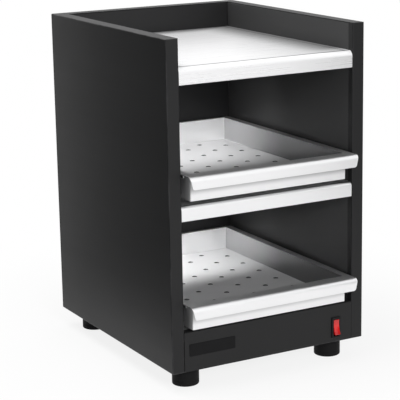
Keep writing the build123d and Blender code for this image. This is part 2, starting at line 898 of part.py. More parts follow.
def inlet_pin_places():
    return [
        (inlet_x - inlet_pin_spacing, inlet_z - inlet_pin_offset),
        (inlet_x, inlet_z + inlet_pin_offset),
        (inlet_x + inlet_pin_spacing, inlet_z - inlet_pin_offset),
    ]


def wiring():
    pan_floor = body_bottom + pan_sheet
    block_y = wall_face - block_inset
    pole_pitch = block_length / block_poles
    with BuildPart() as block:
        with BuildSketch(level(pan_floor)):
            with Locations((block_x, block_y)):
                Rectangle(block_length, block_depth)
        extrude(amount=block_height)
        # Barriers between the poles, with a screw well in each.
        with BuildSketch(level(pan_floor + block_height)):
            with Locations((block_x, block_y)):
                with GridLocations(pole_pitch, 0, block_poles, 1):
                    Rectangle(pole_pitch - block_barrier, block_depth)
        extrude(amount=-block_notch, mode=Mode.SUBTRACT)
        with BuildSketch(level(pan_floor + block_height)):
            with Locations((block_x, block_y)):
                with GridLocations(pole_pitch, block_depth / 2, block_poles, 2):
                    Rectangle(block_well, block_well)
        extrude(amount=-block_well_depth, mode=Mode.SUBTRACT)
    save(block, "terminal_block")

    # The sleeved loom runs from the block up the hollow back wall to the top heater.
    start_z = body_bottom + pan_wall + touch_gap + loom_diameter / 2
    rise_y = panel_back - touch_gap - loom_diameter / 2
    with BuildPart() as loom:
        with BuildLine() as path:
            FilletPolyline(
                (block_x, block_y + block_depth / 2, start_z),
                (block_x, rise_y, start_z),
                (block_x, rise_y, heater_level(top_level - shelf_sheet)),
                radius=loom_bend,
            )
        with BuildSketch(Plane(origin=(block_x, block_y + block_depth / 2, start_z), z_dir=(0, 1, 0))):
            Circle(loom_diameter / 2)
        sweep(path=path.wires()[0])
    save(loom, "wiring_loom")


side_panel(-1, "left")
side_panel(1, "right")
back_cover()
back_lining()
warm_shelf("top_tray", top_bottom, top_level, top_nose_bend)
warm_shelf("middle_shelf", shelf_bottom, shelf_top, shelf_nose_bend)
base_fascia()
base_pan()
base_deck()
feet()
heater("top", top_level - shelf_sheet, wall_face + heater_reach_back)
heater("middle", shelf_top - shelf_sheet, wall_face + heater_reach_back)
heater("base", deck_top - shelf_sheet, insert_back)
for drawer_name, drawer_bottom in (("upper", upper_drawer_bottom), ("lower", lower_drawer_bottom)):
    for hand, side in (("left", -1), ("right", 1)):
        slide(f"{drawer_name}_{hand}", side, slide_middle(drawer_bottom))
    drawer(drawer_name, drawer_bottom)
slide_screws()
rocker_switch()
mains_inlet()
wiring()
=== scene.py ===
# The looks of the cup warmer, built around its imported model.
# Metres. X runs across, Y from front to back, Z up from the floor. The front faces -Y.

import json
from math import cos, pi, radians, sin

import bmesh
import bpy
from mathutils import Matrix, Vector


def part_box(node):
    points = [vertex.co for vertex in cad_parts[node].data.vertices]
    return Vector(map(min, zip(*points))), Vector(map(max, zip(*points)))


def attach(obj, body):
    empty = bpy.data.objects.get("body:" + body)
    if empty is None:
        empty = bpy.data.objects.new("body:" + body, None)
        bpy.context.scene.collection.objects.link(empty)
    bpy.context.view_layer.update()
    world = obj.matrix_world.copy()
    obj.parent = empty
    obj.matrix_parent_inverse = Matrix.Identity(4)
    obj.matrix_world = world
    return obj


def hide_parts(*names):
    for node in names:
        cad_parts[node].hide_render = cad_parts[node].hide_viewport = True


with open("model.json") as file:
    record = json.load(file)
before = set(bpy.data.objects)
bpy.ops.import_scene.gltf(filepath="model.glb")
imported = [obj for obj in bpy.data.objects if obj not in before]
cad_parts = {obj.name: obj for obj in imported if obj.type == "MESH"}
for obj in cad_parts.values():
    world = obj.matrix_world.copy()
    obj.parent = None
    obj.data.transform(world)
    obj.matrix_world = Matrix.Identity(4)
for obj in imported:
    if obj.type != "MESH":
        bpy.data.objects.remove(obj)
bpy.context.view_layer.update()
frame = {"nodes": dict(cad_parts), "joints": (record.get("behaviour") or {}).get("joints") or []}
nodes = frame["nodes"]
scene = bpy.context.scene
print("frame loaded:", len(nodes), "nodes")


# Camera

cameraValues = {
    "place": (-1.1239, -2.0062, 0.7821),
    "turn": 28.94,
    "tilt": 13.51,
    "roll": -1.03,
    "focalPixels": 1526.9,
    "framePixels": 400,
    "sensor": 36.0,
}


def makeCamera(values):
    turn, tilt, roll = (radians(values[k]) for k in ("turn", "tilt", "roll"))
    ahead = Vector((sin(turn) * cos(tilt), cos(turn) * cos(tilt), -sin(tilt)))
    level = Vector((cos(turn), -sin(turn), 0))
    upright = level.cross(ahead)
    right = cos(roll) * level + sin(roll) * upright
    up = -sin(roll) * level + cos(roll) * upright
    data = bpy.data.cameras.new("photoCamera")
    data.sensor_width = values["sensor"]
    data.lens = values["focalPixels"] / values["framePixels"] * values["sensor"]
    camera = bpy.data.objects.new("photoCamera", data)
    camera.matrix_world = Matrix((right, up, -ahead)).transposed().to_4x4()
    camera.location = values["place"]
    scene.collection.objects.link(camera)
    scene.camera = camera


makeCamera(cameraValues)
print("camera placed")


# Node trees: a Signal is one socket's output, and sums of signals add Math nodes.

class Signal:
    def __init__(self, graph, socket):
        self.graph = graph
        self.socket = socket

    def maths(self, operation, *others):
        return self.graph.make("ShaderNodeMath", {"operation": operation}, dict(enumerate((self, *others))))

    def __add__(self, other):
        return self.maths("ADD", other)

    def __sub__(self, other):
        return self.maths("SUBTRACT", other)

    def __mul__(self, other):
        return self.maths("MULTIPLY", other)

    def __truediv__(self, other):
        return self.maths("DIVIDE", other)

    def __rsub__(self, other):
        return self.graph.make("ShaderNodeMath", {"operation": "SUBTRACT"}, {0: other, 1: self})

    __radd__ = __add__
    __rmul__ = __mul__

    def above(self, edge, width):
        # 0 below the edge, 1 past edge + width, smooth between.
        return self.graph.make(
            "ShaderNodeMapRange",
            {"interpolation_type": "SMOOTHSTEP"},
            {"Value": self, "From Min": edge, "From Max": edge + width},
        )

    def near(self, middle, half):
        # 1 at the middle, falling smoothly to 0 at the distance half to either side.
        return 1.0 - (self - middle).maths("ABSOLUTE").above(0.0, half)

    def wrapped(self, pitch, shift):
        # The signed distance to the nearest line of a grid, which starts shift pitches from 0.
        return self.graph.make(
            "ShaderNodeMath", {"operation": "WRAP"}, {0: self - pitch * shift, 1: pitch / 2, 2: -pitch / 2})

    def limited(self):
        return self.maths("MINIMUM", 1.0).maths("MAXIMUM", 0.0)


class Graph:
    def __init__(self, tree):
        self.tree = tree
        self.tree.nodes.clear()

    def make(self, kind, settings=None, sockets=None, output=0):
        node = self.tree.nodes.new(kind)
        for key, value in (settings or {}).items():
            setattr(node, key, value)
        for key, value in (sockets or {}).items():
            for entry in value if isinstance(value, list) else [value]:
                if isinstance(entry, Signal):
                    self.tree.links.new(entry.socket, node.inputs[key])
                elif entry is not None:
                    node.inputs[key].default_value = entry
        return Signal(self, node.outputs[output]) if node.outputs else None


class Look(Graph):
    def __init__(self, name, tree=None):
        self.material = None
        if tree is None:
            self.material = bpy.data.materials.new(name)
            self.material.use_nodes = True
            tree = self.material.node_tree
        super().__init__(tree)

    def place(self, scale=(1, 1, 1), turn=(0, 0, 0)):
        # Object coordinates, stretched for grain and turned for slanted marks.
        point = self.make("ShaderNodeTexCoord", output="Object")
        return self.make("ShaderNodeMapping", {}, {"Vector": point, "Scale": scale, "Rotation": turn})

    def axes(self, point):
        # The three numbers of a point or a direction.
        return [self.make("ShaderNodeSeparateXYZ", {}, {0: point}, output=i) for i in range(3)]

    def facing(self):
        # The true direction that the surface faces, as three numbers.
        return self.axes(self.make("ShaderNodeNewGeometry", output="True Normal"))

    def noise(self, where, scale, detail=4.0, roughness=0.55, distortion=0.0):
        return self.make("ShaderNodeTexNoise", {}, {
            "Vector": where, "Scale": scale, "Detail": detail, "Roughness": roughness,
            "Distortion": distortion})

    def tint(self, factor, first, second):
        # Mixes two colours, given as signals or as plain red, green and blue.
        pair = [c if isinstance(c, Signal) else (*c, 1.0) for c in (first, second)]
        return self.make(
            "ShaderNodeMix", {"data_type": "RGBA"}, {0: factor, 6: pair[0], 7: pair[1]}, output=2)

    def bump(self, height, depth, strength=1.0, under=None):
        return self.make("ShaderNodeBump", {}, {
            "Height": height, "Distance": depth, "Strength": strength, "Normal": under})

    def skin(self, sockets):
        shader = self.make("ShaderNodeBsdfPrincipled", {}, sockets)
        self.make("ShaderNodeOutputMaterial", {}, {"Surface": shader})
        return self.material


def colour(red, green, blue):
    return (red, green, blue, 1.0)


# Finishes. In the values, an Edge is where a mask starts and how wide its step is, a Share is how much
# of a mark is mixed in, and Dull or Shine is how far a mark moves the roughness.

coatValues = {
    "dark": (0.0115, 0.0115, 0.012),
    "light": (0.0155, 0.0155, 0.016),
    "rubbed": (0.085, 0.085, 0.088),
    "specular": 0.23,
    "leastRoughness": 0.34,
    "grain": {"scale": 900.0, "detail": 2.0},
    "grainDepth": 0.00005,
    "grainStrength": 0.6,
    "grainDull": 0.08,
    "peel": {"scale": 170.0, "detail": 3.0},
    "peelDepth": 0.00012,
    "peelStrength": 0.5,
    "cloud": {"scale": 9.0, "detail": 5.0, "distortion": 0.4},
    "cloudDull": 0.08,
    "specks": {"scale": 2600.0, "detail": 1.0},
    "speckEdge": (0.66, 0.08),
    "speckShare": 0.10,
    "scuffs": {"scale": 60.0, "detail": 8.0, "roughness": 0.7},
    "scuffStretch": (1, 1, 0.25),
    "scuffEdge": (0.42, 0.2),
    "rubWidth": 0.0011,
    "rubShare": 0.5,
    "rubShine": 0.1,
    "wipes": {"scale": 1.0, "detail": 3.0},
    "wipeStretch": (14, 3, 40),
    "wipeTurn": (0.3, 0, 0),
    "wipeDull": 0.06,
    "dustEdge": (0.6, 0.3),
    "dustDull": 0.04,
}
# The inner side panels get a lighter copy of the black coat: painted light, standing in for the light that
# their inner faces catch.
paintedLightLiningValues = {**coatValues, "dark": (0.041, 0.041, 0.0415), "light": (0.0485, 0.0485, 0.049)}


def powderCoat(values, name):
    look = Look(name)
    here = look.place()
    grain = look.noise(here, **values["grain"])
    peel = look.noise(here, **values["peel"])
    cloud = look.noise(here, **values["cloud"])
    specks = look.noise(here, **values["specks"]).above(*values["speckEdge"])
    scuffs = look.noise(look.place(scale=values["scuffStretch"]), **values["scuffs"])
    wipes = look.noise(look.place(scale=values["wipeStretch"], turn=values["wipeTurn"]), **values["wipes"])
    base = look.tint(cloud, values["dark"], values["light"])
    rub = outerEdges(look, here, values["rubWidth"]) * scuffs.above(*values["scuffEdge"])
    base = look.tint(rub * values["rubShare"] + specks * values["speckShare"], base, values["rubbed"])
    dust = look.facing()[2].above(*values["dustEdge"])
    roughness = cloud * values["cloudDull"] + grain * values["grainDull"] + wipes * values["wipeDull"]
    roughness = roughness + values["leastRoughness"] - rub * values["rubShine"] + dust * values["dustDull"]
    height = look.bump(peel, values["peelDepth"], values["peelStrength"])
    height = look.bump(grain, values["grainDepth"], values["grainStrength"], height)
    return look.skin({
        "Base Color": base, "Roughness": roughness, "Normal": height,
        "Specular IOR Level": values["specular"]})


def outerEdges(look, here, width):
    # 1 along the outer edges of the cabinet, where two of its three outer faces are close.
    low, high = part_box("left_outer_panel")
    high = Vector((-low.x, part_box("back_outer_panel")[1].y, high.z))
    near = []
    for axis, first, last in zip(look.axes(here), low, high):
        depth = (last - first) / 2 - (axis - (first + last) / 2).maths("ABSOLUTE")
        near.append(1.0 - depth.above(0.0, width * 2))
    pairs = near[0] * near[1] + near[1] * near[2] + near[2] * near[0]
    return pairs.limited()


steelValues = {
    "bright": (0.91, 0.91, 0.915),
    "shade": (0.85, 0.85, 0.86),
    "soiled": (0.62, 0.60, 0.57),
    # Painted dark reflection and shade for the lines at the bends.
    "foldTone": (0.05, 0.05, 0.055),
    # Near-black painted shade for the tray holes, the foot of the gallery and the box fronts under the
    # lips.
    "stainTone": (0.012, 0.012, 0.013),
    "metallic": 0.58,
    "leastRoughness": 0.28,
    "grain": {"scale": 1.0, "detail": 3.0, "roughness": 0.6},
    "grainLong": 14.0,
    "grainFine": 1900.0,
    "grainShare": 0.2,
    "grainDepth": 0.0000008,
    "grainStrength": 0.2,
    "grainDull": 0.015,
    "cloud": {"scale": 7.0, "detail": 4.0, "distortion": 0.6},
    "cloudDull": 0.02,
    "bloom": {"scale": 26.0, "detail": 6.0, "roughness": 0.65, "distortion": 0.8},
    "bloomEdge": (0.58, 0.25),
    "bloomShare": 0.03,
    "bloomDull": 0.02,
    "hairlines": {"scale": 1.0, "detail": 2.0},
    "hairStretch": (9, 1100, 1100),
    "hairTurn": (0, 0, 0.05),
    "hairEdge": (0.62, 0.06),
    "hairShine": 0.01,
    "upwardEdge": (0.25, 0.7),
    "floorEdge": 0.002,
    "floorMetallic": 0.40,
    "rimMetallic": 0.86,
    "crossEdge": (0.55, 0.25),
    "crossMetallic": 0.95,
    # Painted dark reflection on the side walls, from the rear tone to the front tone.
    "crossRearTone": (0.58, 0.58, 0.585),
    "crossFrontTone": (0.17, 0.17, 0.172),
    "crossRun": (-0.03, 0.17),
}
dullSteelValues = {
    **steelValues, "bright": (0.60, 0.60, 0.60), "shade": (0.50, 0.50, 0.50), "leastRoughness": 0.48}


def brushedSteel(values, name, along="x", folds=None, floorTop=None, stain=None):
    look = Look(name)
    here = look.place()
    stretch = [values["grainFine"]] * 3
    stretch["xyz".index(along)] = values["grainLong"]
    grain = look.noise(look.place(scale=tuple(stretch)), **values["grain"])
    cloud = look.noise(here, **values["cloud"])
    bloom = look.noise(here, **values["bloom"]).above(*values["bloomEdge"])
    hairPlace = look.place(scale=values["hairStretch"], turn=values["hairTurn"])
    marks = look.noise(hairPlace, **values["hairlines"]).above(*values["hairEdge"])
    clean = grain * values["grainShare"] + cloud * (1 - values["grainShare"])
    base = look.tint(clean, values["shade"], values["bright"])
    base = look.tint(bloom * values["bloomShare"], base, values["soiled"])
    upward = look.facing()[2].above(*values["upwardEdge"])
    # Painted dark lines at the bends: a painted reflection at the front bend and painted shade along the
    # side folds.
    if folds:
        base = look.tint((paintedBendLines(look, here, folds) * upward).limited(), base, values["foldTone"])
    # Painted shade from the given function, in the near-black tone.
    if stain:
        base = look.tint(stain(look, here), base, values["stainTone"])
    metallic = values["metallic"]
    if floorTop:
        # Flat floors are rubbed by cups and scatter the light, and the rims above them stay bright.
        above = look.axes(here)[2].above(floorTop, values["floorEdge"])
        rubbed, rims = upward * (1.0 - above), upward * above
        metallic = metallic - rubbed * (values["metallic"] - values["floorMetallic"])
        metallic = metallic + rims * (values["rimMetallic"] - values["metallic"])
        # Side walls are brushed across their length, which leaves them more mirror-like, and their colour
        # is darkened, most towards the front: a painted dark reflection.
        sidewaysFaces = look.facing()[0].maths("ABSOLUTE").above(*values["crossEdge"])
        metallic = metallic + sidewaysFaces * (values["crossMetallic"] - values["metallic"])
        rearward = look.axes(here)[1].above(*values["crossRun"])
        paintedWallTone = look.tint(rearward, values["crossFrontTone"], values["crossRearTone"])
        base = look.tint(sidewaysFaces, base, paintedWallTone)
    roughness = values["leastRoughness"] + grain * values["grainDull"] + cloud * values["cloudDull"]
    roughness = roughness + bloom * values["bloomDull"] - marks * values["hairShine"]
    return look.skin({
        "Base Color": base, "Metallic": metallic, "Roughness": roughness,
        "Normal": look.bump(grain, values["grainDepth"], values["grainStrength"])})


plasticValues = {
    "plate_black": {"colour": (0.006, 0.006, 0.0065), "roughness": 0.24, "grain": 700.0, "depth": 0.00001,
                    "specular": 0.12},
    "switch_black": {"colour": (0.006, 0.006, 0.0065), "roughness": 0.34, "grain": 1100.0, "depth": 0.00002,
                     "specular": 0.2},
    "rubber": {"colour": (0.008, 0.008, 0.0084), "roughness": 0.62, "grain": 800.0, "depth": 0.00004,
               "specular": 0.12},
    "terminal_white": {"colour": (0.75, 0.74, 0.70), "roughness": 0.45, "grain": 600.0, "depth": 0.00002},
    "loom_sleeve": {"colour": (0.66, 0.63, 0.55), "roughness": 0.8, "grain": 1400.0, "depth": 0.0001},
}


mouldingValues = {
    "grainDetail": 2.0,
    "grainStrength": 0.6,
    "cloud": {"scale": 30.0, "detail": 5.0, "distortion": 0.3},
    "cloudDull": 0.10,
    "worn": {"scale": 90.0, "detail": 9.0, "roughness": 0.75},
    "wornEdge": (0.60, 0.12),
    "wornDull": 0.05,
    "darker": 0.8,
    "lighter": 1.3,
    "spread": 0.05,
    "specular": 0.5,
}


def moulded(plastic, name):
    values = {**mouldingValues, **plastic}
    look = Look(name)
    here = look.place()
    grain = look.noise(here, values["grain"], detail=values["grainDetail"])
    cloud = look.noise(here, **values["cloud"])
    worn = look.noise(here, **values["worn"]).above(*values["wornEdge"])
    darker = tuple(c * values["darker"] for c in values["colour"])
    lighter = tuple(min(1.0, c * values["lighter"]) for c in values["colour"])
    roughness = cloud * values["cloudDull"] + worn * values["wornDull"]
    roughness = roughness + values["roughness"] - values["spread"]
    return look.skin({
        "Base Color": look.tint(cloud, darker, lighter), "Roughness": roughness,
        "Normal": look.bump(grain, values["depth"], values["grainStrength"]),
        "Specular IOR Level": values["specular"]})


metalValues = {
    "zinc_steel": {"colour": (0.62, 0.63, 0.66), "roughness": 0.30},
    "slide_black": {"colour": (0.055, 0.055, 0.058), "roughness": 0.38},
    "heater_sheath": {"colour": (0.20, 0.17, 0.15), "roughness": 0.5},
    "limiter": {"colour": (0.72, 0.72, 0.70), "roughness": 0.36},
    "brass": {"colour": (0.62, 0.45, 0.19), "roughness": 0.3},
}


bareValues = {
    "cloud": {"scale": 120.0, "detail": 6.0, "distortion": 0.5},
    "cloudShare": 0.6,
    "cloudDull": 0.10,
    "fine": {"scale": 2200.0, "detail": 2.0},
    "fineDepth": 0.000008,
    "fineStrength": 0.4,
    "run": {"scale": 1.0, "detail": 2.0},
    "runStretch": (400, 8, 400),
    "runDull": 0.05,
    "darker": 0.8,
    "spread": 0.06,
}


def bareMetal(metal, name):
    values = {**bareValues, **metal}
    look = Look(name)
    here = look.place()
    cloud = look.noise(here, **values["cloud"])
    fine = look.noise(here, **values["fine"])
    run = look.noise(look.place(scale=values["runStretch"]), **values["run"])
    darker = tuple(c * values["darker"] for c in values["colour"])
    mottle = cloud * values["cloudShare"] + run * (1 - values["cloudShare"])
    roughness = cloud * values["cloudDull"] + run * values["runDull"]
    roughness = roughness + values["roughness"] - values["spread"]
    return look.skin({
        "Base Color": look.tint(mottle, darker, values["colour"]), "Metallic": 1.0, "Roughness": roughness,
        "Normal": look.bump(fine, values["fineDepth"], values["fineStrength"])})


rockerValues = {
    "deep": (0.33, 0.004, 0.005),
    "bright": (0.66, 0.012, 0.011),
    # Painted glow: how strongly the rocker emits, and how far and how strongly its middle is painted
    # brighter.
    "glow": 0.15,
    "glowReach": 0.62,
    "glowShare": 0.7,
    "leastRoughness": 0.16,
    "cloud": {"scale": 220.0, "detail": 3.0},
    "cloudDull": 0.08,
    "fine": {"scale": 1800.0, "detail": 2.0},
    "fineDepth": 0.00001,
    "fineStrength": 0.4,
    "clearCoat": 0.25,
    "clearRoughness": 0.08,
}


def redLens(values, name):
    # A clear red moulding with a painted glow: it emits a faint light, and its colour is painted brighter
    # through its hollow middle and deeper at its ends.
    look = Look(name)
    here = look.place()
    cloud = look.noise(here, **values["cloud"])
    fine = look.noise(here, **values["fine"])
    low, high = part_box("rocker")
    paintedGlow = look.axes(here)[2].near((low.z + high.z) / 2, (high.z - low.z) * values["glowReach"])
    lit = cloud * (1 - values["glowShare"]) + paintedGlow * values["glowShare"]
    base = look.tint(lit, values["deep"], values["bright"])
    return look.skin({
        "Base Color": base, "Emission Color": base, "Emission Strength": values["glow"],
        "Roughness": cloud * values["cloudDull"] + values["leastRoughness"],
        "Coat Weight": values["clearCoat"], "Coat Roughness": values["clearRoughness"],
        "Normal": look.bump(fine, values["fineDepth"], values["fineStrength"])})


foldValues = {
    "topBend": 0.008,
    "shelfBend": 0.006,
    "width": 0.0034,
    "border": 0.008,
    "sideStart": 0.001,
    "sideShare": 0.6,
    "floorRise": 0.004,
    "clearOfTop": 0.01,
}


def paintedBendLines(look, here, folds):
    # Painted dark lines where the flat sheet starts to bend: a painted reflection along the front bend and
    # painted shade along the side folds.
    across, along = look.axes(here)[:2]
    line = along.near(folds["front"], foldValues["width"])
    behind = along.above(folds["front"], foldValues["sideStart"]) * foldValues["sideShare"]
    for side in folds["sides"]:
        line = line + across.near(side, foldValues["width"]) * behind
    return line


liningCoat = powderCoat(paintedLightLiningValues, "liningCoat")
looks = {
    "black_powder_coat": powderCoat(coatValues, "powderCoat"),
    "stainless": brushedSteel(steelValues, "satinStainless"),
    "stainless_dull": brushedSteel(dullSteelValues, "dullStainless", along="y"),
    "rocker_red": redLens(rockerValues, "rockerRed"),
}
for slotName, values in plasticValues.items():
    looks[slotName] = moulded(values, slotName.replace("_", "") + "Moulding")
for slotName, values in metalValues.items():
    looks[slotName] = bareMetal(values, slotName.replace("_", "") + "Metal")

for node in nodes.values():
    slotName = node.material_slots[0].material.name.split(".")[0]
    node.material_slots[0].material = looks[slotName]


# Where and how strongly painted shade is laid on the steel.
paintedShadeValues = {
    "columnPitch": 0.070,
    "rowPitch": 0.051,
    "holeShift": 0.003,
    "holeRadius": 0.0035,
    "ringWidth": 0.0011,
    "holesHalfWidth": 0.110,
    "holesHalfLength": 0.158,
    "holesEdge": 0.001,
    "cornerReach": 0.045,
    "cornerDepth": 0.70,
    "leftFade": 0.12,
    "rightReach": 0.075,
    "rightFade": 0.05,
    "flatEdge": (0.9, 0.08),
    "lipDrop": 0.018,
    "gripReach": 0.014,
    "gripDepth": 0.50,
    "frontEdge": (0.5, 0.3),
}


def paintedHoleRings(look, here, middle):
    # Painted shade: a dark ring round each tray hole, standing in for the shade inside the holes. The holes
    # are two staggered grids.
    values = paintedShadeValues
    x, y = look.axes(here)[:2]
    y = y - middle
    rings = 0.0
    for grid in (0.0, 0.5):
        across = x.wrapped(values["columnPitch"], grid)
        along = y.wrapped(values["rowPitch"], grid)
        away = (across * across + along * along).maths("SQRT")
        rings = (1.0 - away.above(values["holeRadius"], values["ringWidth"])).maths("MAXIMUM", rings)
    inWidth = 1.0 - x.maths("ABSOLUTE").above(values["holesHalfWidth"], values["holesEdge"])
    inLength = 1.0 - y.maths("ABSOLUTE").above(values["holesHalfLength"], values["holesEdge"])
    return rings * (inWidth * inLength)


def paintedGalleryShade(look, here, low, high):
    # Painted shade along the foot of the gallery, where its walls shade the sheet. It reaches
    # furthest on the right side.
    values = paintedShadeValues
    reach, wide = values["cornerReach"], values["rightReach"]
    x, y = look.axes(here)[:2]
    rear = y.above(high.y - reach, reach)
    left = (0.0 - x).above(high.x - reach, reach) * y.above(low.y + reach, values["leftFade"])
    right = x.above(high.x - wide, wide) * y.above(low.y, values["rightFade"])
    galleryShade = rear.maths("MAXIMUM", left).maths("MAXIMUM", right)
    return galleryShade * values["cornerDepth"] * look.facing()[2].above(*values["flatEdge"])


def paintedLipShadow(look, here, rim):
    # Painted shadow: a grey band on the box front just under the lip, where the lip shades it.
    values = paintedShadeValues
    front = (0.0 - look.facing()[1]).above(*values["frontEdge"])
    lowest = rim - values["lipDrop"] - values["gripReach"]
    return look.axes(here)[2].above(lowest, values["gripReach"]) * values["gripDepth"] * front


def dressPlate(name, bend=None, stain=None, **changes):
    # Warm plates and trays have their own copy of the steel, with painted dark lines at the bends (painted
    # reflection and shade), painted shade where given, and rubbed floors.
    low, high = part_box(name)
    folds = {"front": low.y + bend, "sides": ()} if bend else None
    floorTop = low.z + foldValues["floorRise"]
    if name == "top_tray":
        # It is folded along both sides too, and all of it counts as floor.
        folds["sides"] = (low.x + foldValues["border"], high.x - foldValues["border"])
        floorTop = high.z + foldValues["clearOfTop"]
    nodes[name].material_slots[0].material = brushedSteel(
        {**steelValues, **changes}, name.replace("_", "") + "Steel",
        folds=folds, floorTop=floorTop, stain=stain)


topLow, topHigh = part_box("top_tray")
dressPlate("top_tray", foldValues["topBend"], lambda look, here: paintedGalleryShade(look, here, topLow, topHigh),
           leastRoughness=0.26, floorMetallic=0.18)
dressPlate("middle_shelf", foldValues["shelfBend"])
for level in ("upper", "lower"):
    boxLow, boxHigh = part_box(f"{level}_drawer_frame")
    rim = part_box(f"{level}_drawer_tray")[1].z
    holeMiddle = (boxLow.y + boxHigh.y) / 2 + paintedShadeValues["holeShift"]
    # Each drawer tray gets painted shade round its holes.
    dressPlate(f"{level}_drawer_tray", stain=lambda look, here: paintedHoleRings(look, here, holeMiddle))
    # Each box front gets a painted shadow under its lip.
    nodes[f"{level}_drawer_frame"].material_slots[0].material = brushedSteel(
        steelValues, f"{level}BoxSteel", stain=lambda look, here: paintedLipShadow(look, here, rim))
# The inner side panels get the lighter copy of the coat, which is painted light.
for nodeName in ("left_inner_panel", "right_inner_panel"):
    nodes[nodeName].material_slots[0].material = liningCoat
print("finishes made:", len(looks))


# Shapes: outlines with rounded corners, and rings of points joined into closed skins.

def rounded(points, radii, steps=6):
    # A closed outline whose corners are rounded, each by its own radius.
    outline = []
    for i, point in enumerate(points):
        corner = Vector(point)
        before = (Vector(points[i - 1]) - corner).normalized()
        after = (Vector(points[(i + 1) % len(points)]) - corner).normalized()
        radius = radii[i]
        if radius == 0:
            outline.append(corner)
            continue
        half = before.angle(after) / 2
        centre = corner + (before + after).normalized() * radius / sin(half)
        run = radius * cos(half) / sin(half)
        start, end = corner + before * run - centre, corner + after * run - centre
        for step in range(steps + 1):
            outline.append(centre + start.slerp(end, step / steps).normalized() * radius)
    return outline


def roundedBox(halfWidth, halfHeight, radius, steps=6):
    signs = ((-1, -1), (1, -1), (1, 1), (-1, 1))
    return rounded([(halfWidth * i, halfHeight * j) for i, j in signs], [radius] * 4, steps)


def joinRings(rings, closed):
    # A skin over rings of points: closed runs back to the first ring, and open is capped at both ends.
    form = bmesh.new()
    rows = [[form.verts.new(point) for point in ring] for ring in rings]
    size = len(rows[0])
    for i in range(len(rows) if closed else len(rows) - 1):
        first, second = rows[i], rows[(i + 1) % len(rows)]
        for j in range(size):
            form.faces.new((first[j], first[(j + 1) % size], second[(j + 1) % size], second[j]))
    if not closed:
        form.faces.new(rows[0])
        form.faces.new(rows[-1])
    bmesh.ops.recalc_face_normals(form, faces=form.faces)
    mesh = bpy.data.meshes.new("skin")
    form.to_mesh(mesh)
    form.free()
    return mesh


def placePiece(name, mesh, slotName, body, replaced=None, sharp=35):
    mesh.name = name
    mesh.shade_smooth()
    mesh.set_sharp_from_angle(angle=radians(sharp))
    if not mesh.materials:
        mesh.materials.append(looks[slotName])
    piece = bpy.data.objects.new(name, mesh)
    scene.collection.objects.link(piece)
    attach(piece, body)
    if replaced:
        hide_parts(replaced)
    return piece


# Moulded feet

footValues = {
    "sides": 96,
    "bottomRound": 0.0016,
    "shoulderRound": 0.0045,
    "grooveLevel": 0.0075,
    "grooveHalf": 0.0006,
    "grooveDepth": 0.0005,
    "shoulderDrop": 0.0048,
    "shoulderInset": 0.0036,
    "recessRadius": 0.008,
    "recessDepth": 0.015,
    "boreRadius": 0.00265,
    "mouthRound": 0.0006,
    "lipRound": 0.0002,
    "grooveRound": 0.0003,
    "topRound": 0.00225,
    "recessRound": 0.0004,
    "cornerSteps": 5,
}


def makeFoot(values, node):
    low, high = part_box(node)
    radius, height = (high.x - low.x) / 2, high.z - low.z
    centre = (low + high) / 2
    groove, half, depth = values["grooveLevel"], values["grooveHalf"], values["grooveDepth"]
    profile = [
        (values["recessRadius"], 0),
        (radius, 0),
        (radius, groove - half),
        (radius - depth, groove),
        (radius, groove + half),
        (radius, height - values["shoulderDrop"]),
        (radius - values["shoulderInset"], height),
        (values["boreRadius"], height),
        (values["boreRadius"], values["recessDepth"]),
        (values["recessRadius"], values["recessDepth"]),
    ]
    radii = [values[k] for k in ("mouthRound", "bottomRound", "lipRound", "grooveRound", "lipRound",
                                 "shoulderRound", "topRound")] + [0, 0, values["recessRound"]]
    section = rounded(profile, radii, values["cornerSteps"])
    rings = []
    for side in range(values["sides"]):
        angle = 2 * pi * side / values["sides"]
        rings.append([
            (centre.x + cos(angle) * r, centre.y + sin(angle) * r, low.z + z) for r, z in section])
    placePiece("moulded_" + node, joinRings(rings, closed=True), "rubber", "root", node)


for nodeName in nodes:
    if nodeName.startswith("foot_") and nodeName.endswith(("left", "right")):
        makeFoot(footValues, nodeName)
print("feet turned")


# Bare plate on the base front

plateValues = {"corner": 0.0016, "edgeRound": 0.00028, "steps": 4}


def makePlate(values):
    low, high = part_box("blank_plate")
    middle = (low + high) / 2
    halfWidth, halfHeight = (high.x - low.x) / 2, (high.z - low.z) / 2
    rings = []
    layers = [(0, high.y), (0, low.y + values["edgeRound"])]
    for step in range(1, values["steps"] + 1):
        angle = pi / 2 * step / values["steps"]
        inset, drop = (values["edgeRound"] * (1 - share) for share in (cos(angle), sin(angle)))
        layers.append((inset, low.y + drop))
    for inset, y in layers:
        outline = roundedBox(halfWidth - inset, halfHeight - inset, values["corner"] - inset)
        rings.append([(middle.x + x, y, middle.z + z) for x, z in outline])
    placePiece("bare_plate", joinRings(rings, closed=False), "plate_black", "root", "blank_plate")


makePlate(plateValues)
print("plate made")


# Rocker switch: a clear red rocker with a hollow face, in a bezel with soft edges

switchValues = {
    "tilt": 10.0,
    "middle": 0.0055,
    "half": 0.0118,
    "hubRadius": 0.00225,
    "shoulder": 0.0103,
    "sideRound": 0.0007,
    "endRound": 0.00045,
    "endSteps": 4,
    "faceSteps": 24,
    "roundSteps": 5,
    "sharpAngle": 50.0,
    "pinSides": 24,
    "trunnion": 0.00125,
    "trunnionLength": 0.0009,
    "frameWidth": 0.0027,
    "frameProud": 0.00015,
    "frameRound": 0.0010,
    "frameCorner": 0.0018,
    "frameInner": 0.0006,
    "frameLeastCorner": 0.0003,
}


def bakeModifiers(piece):
    # Turns a piece and its modifiers into one plain mesh.
    shape = bpy.data.meshes.new_from_object(piece.evaluated_get(bpy.context.evaluated_depsgraph_get()))
    piece.modifiers.clear()
    piece.data = shape
    return shape


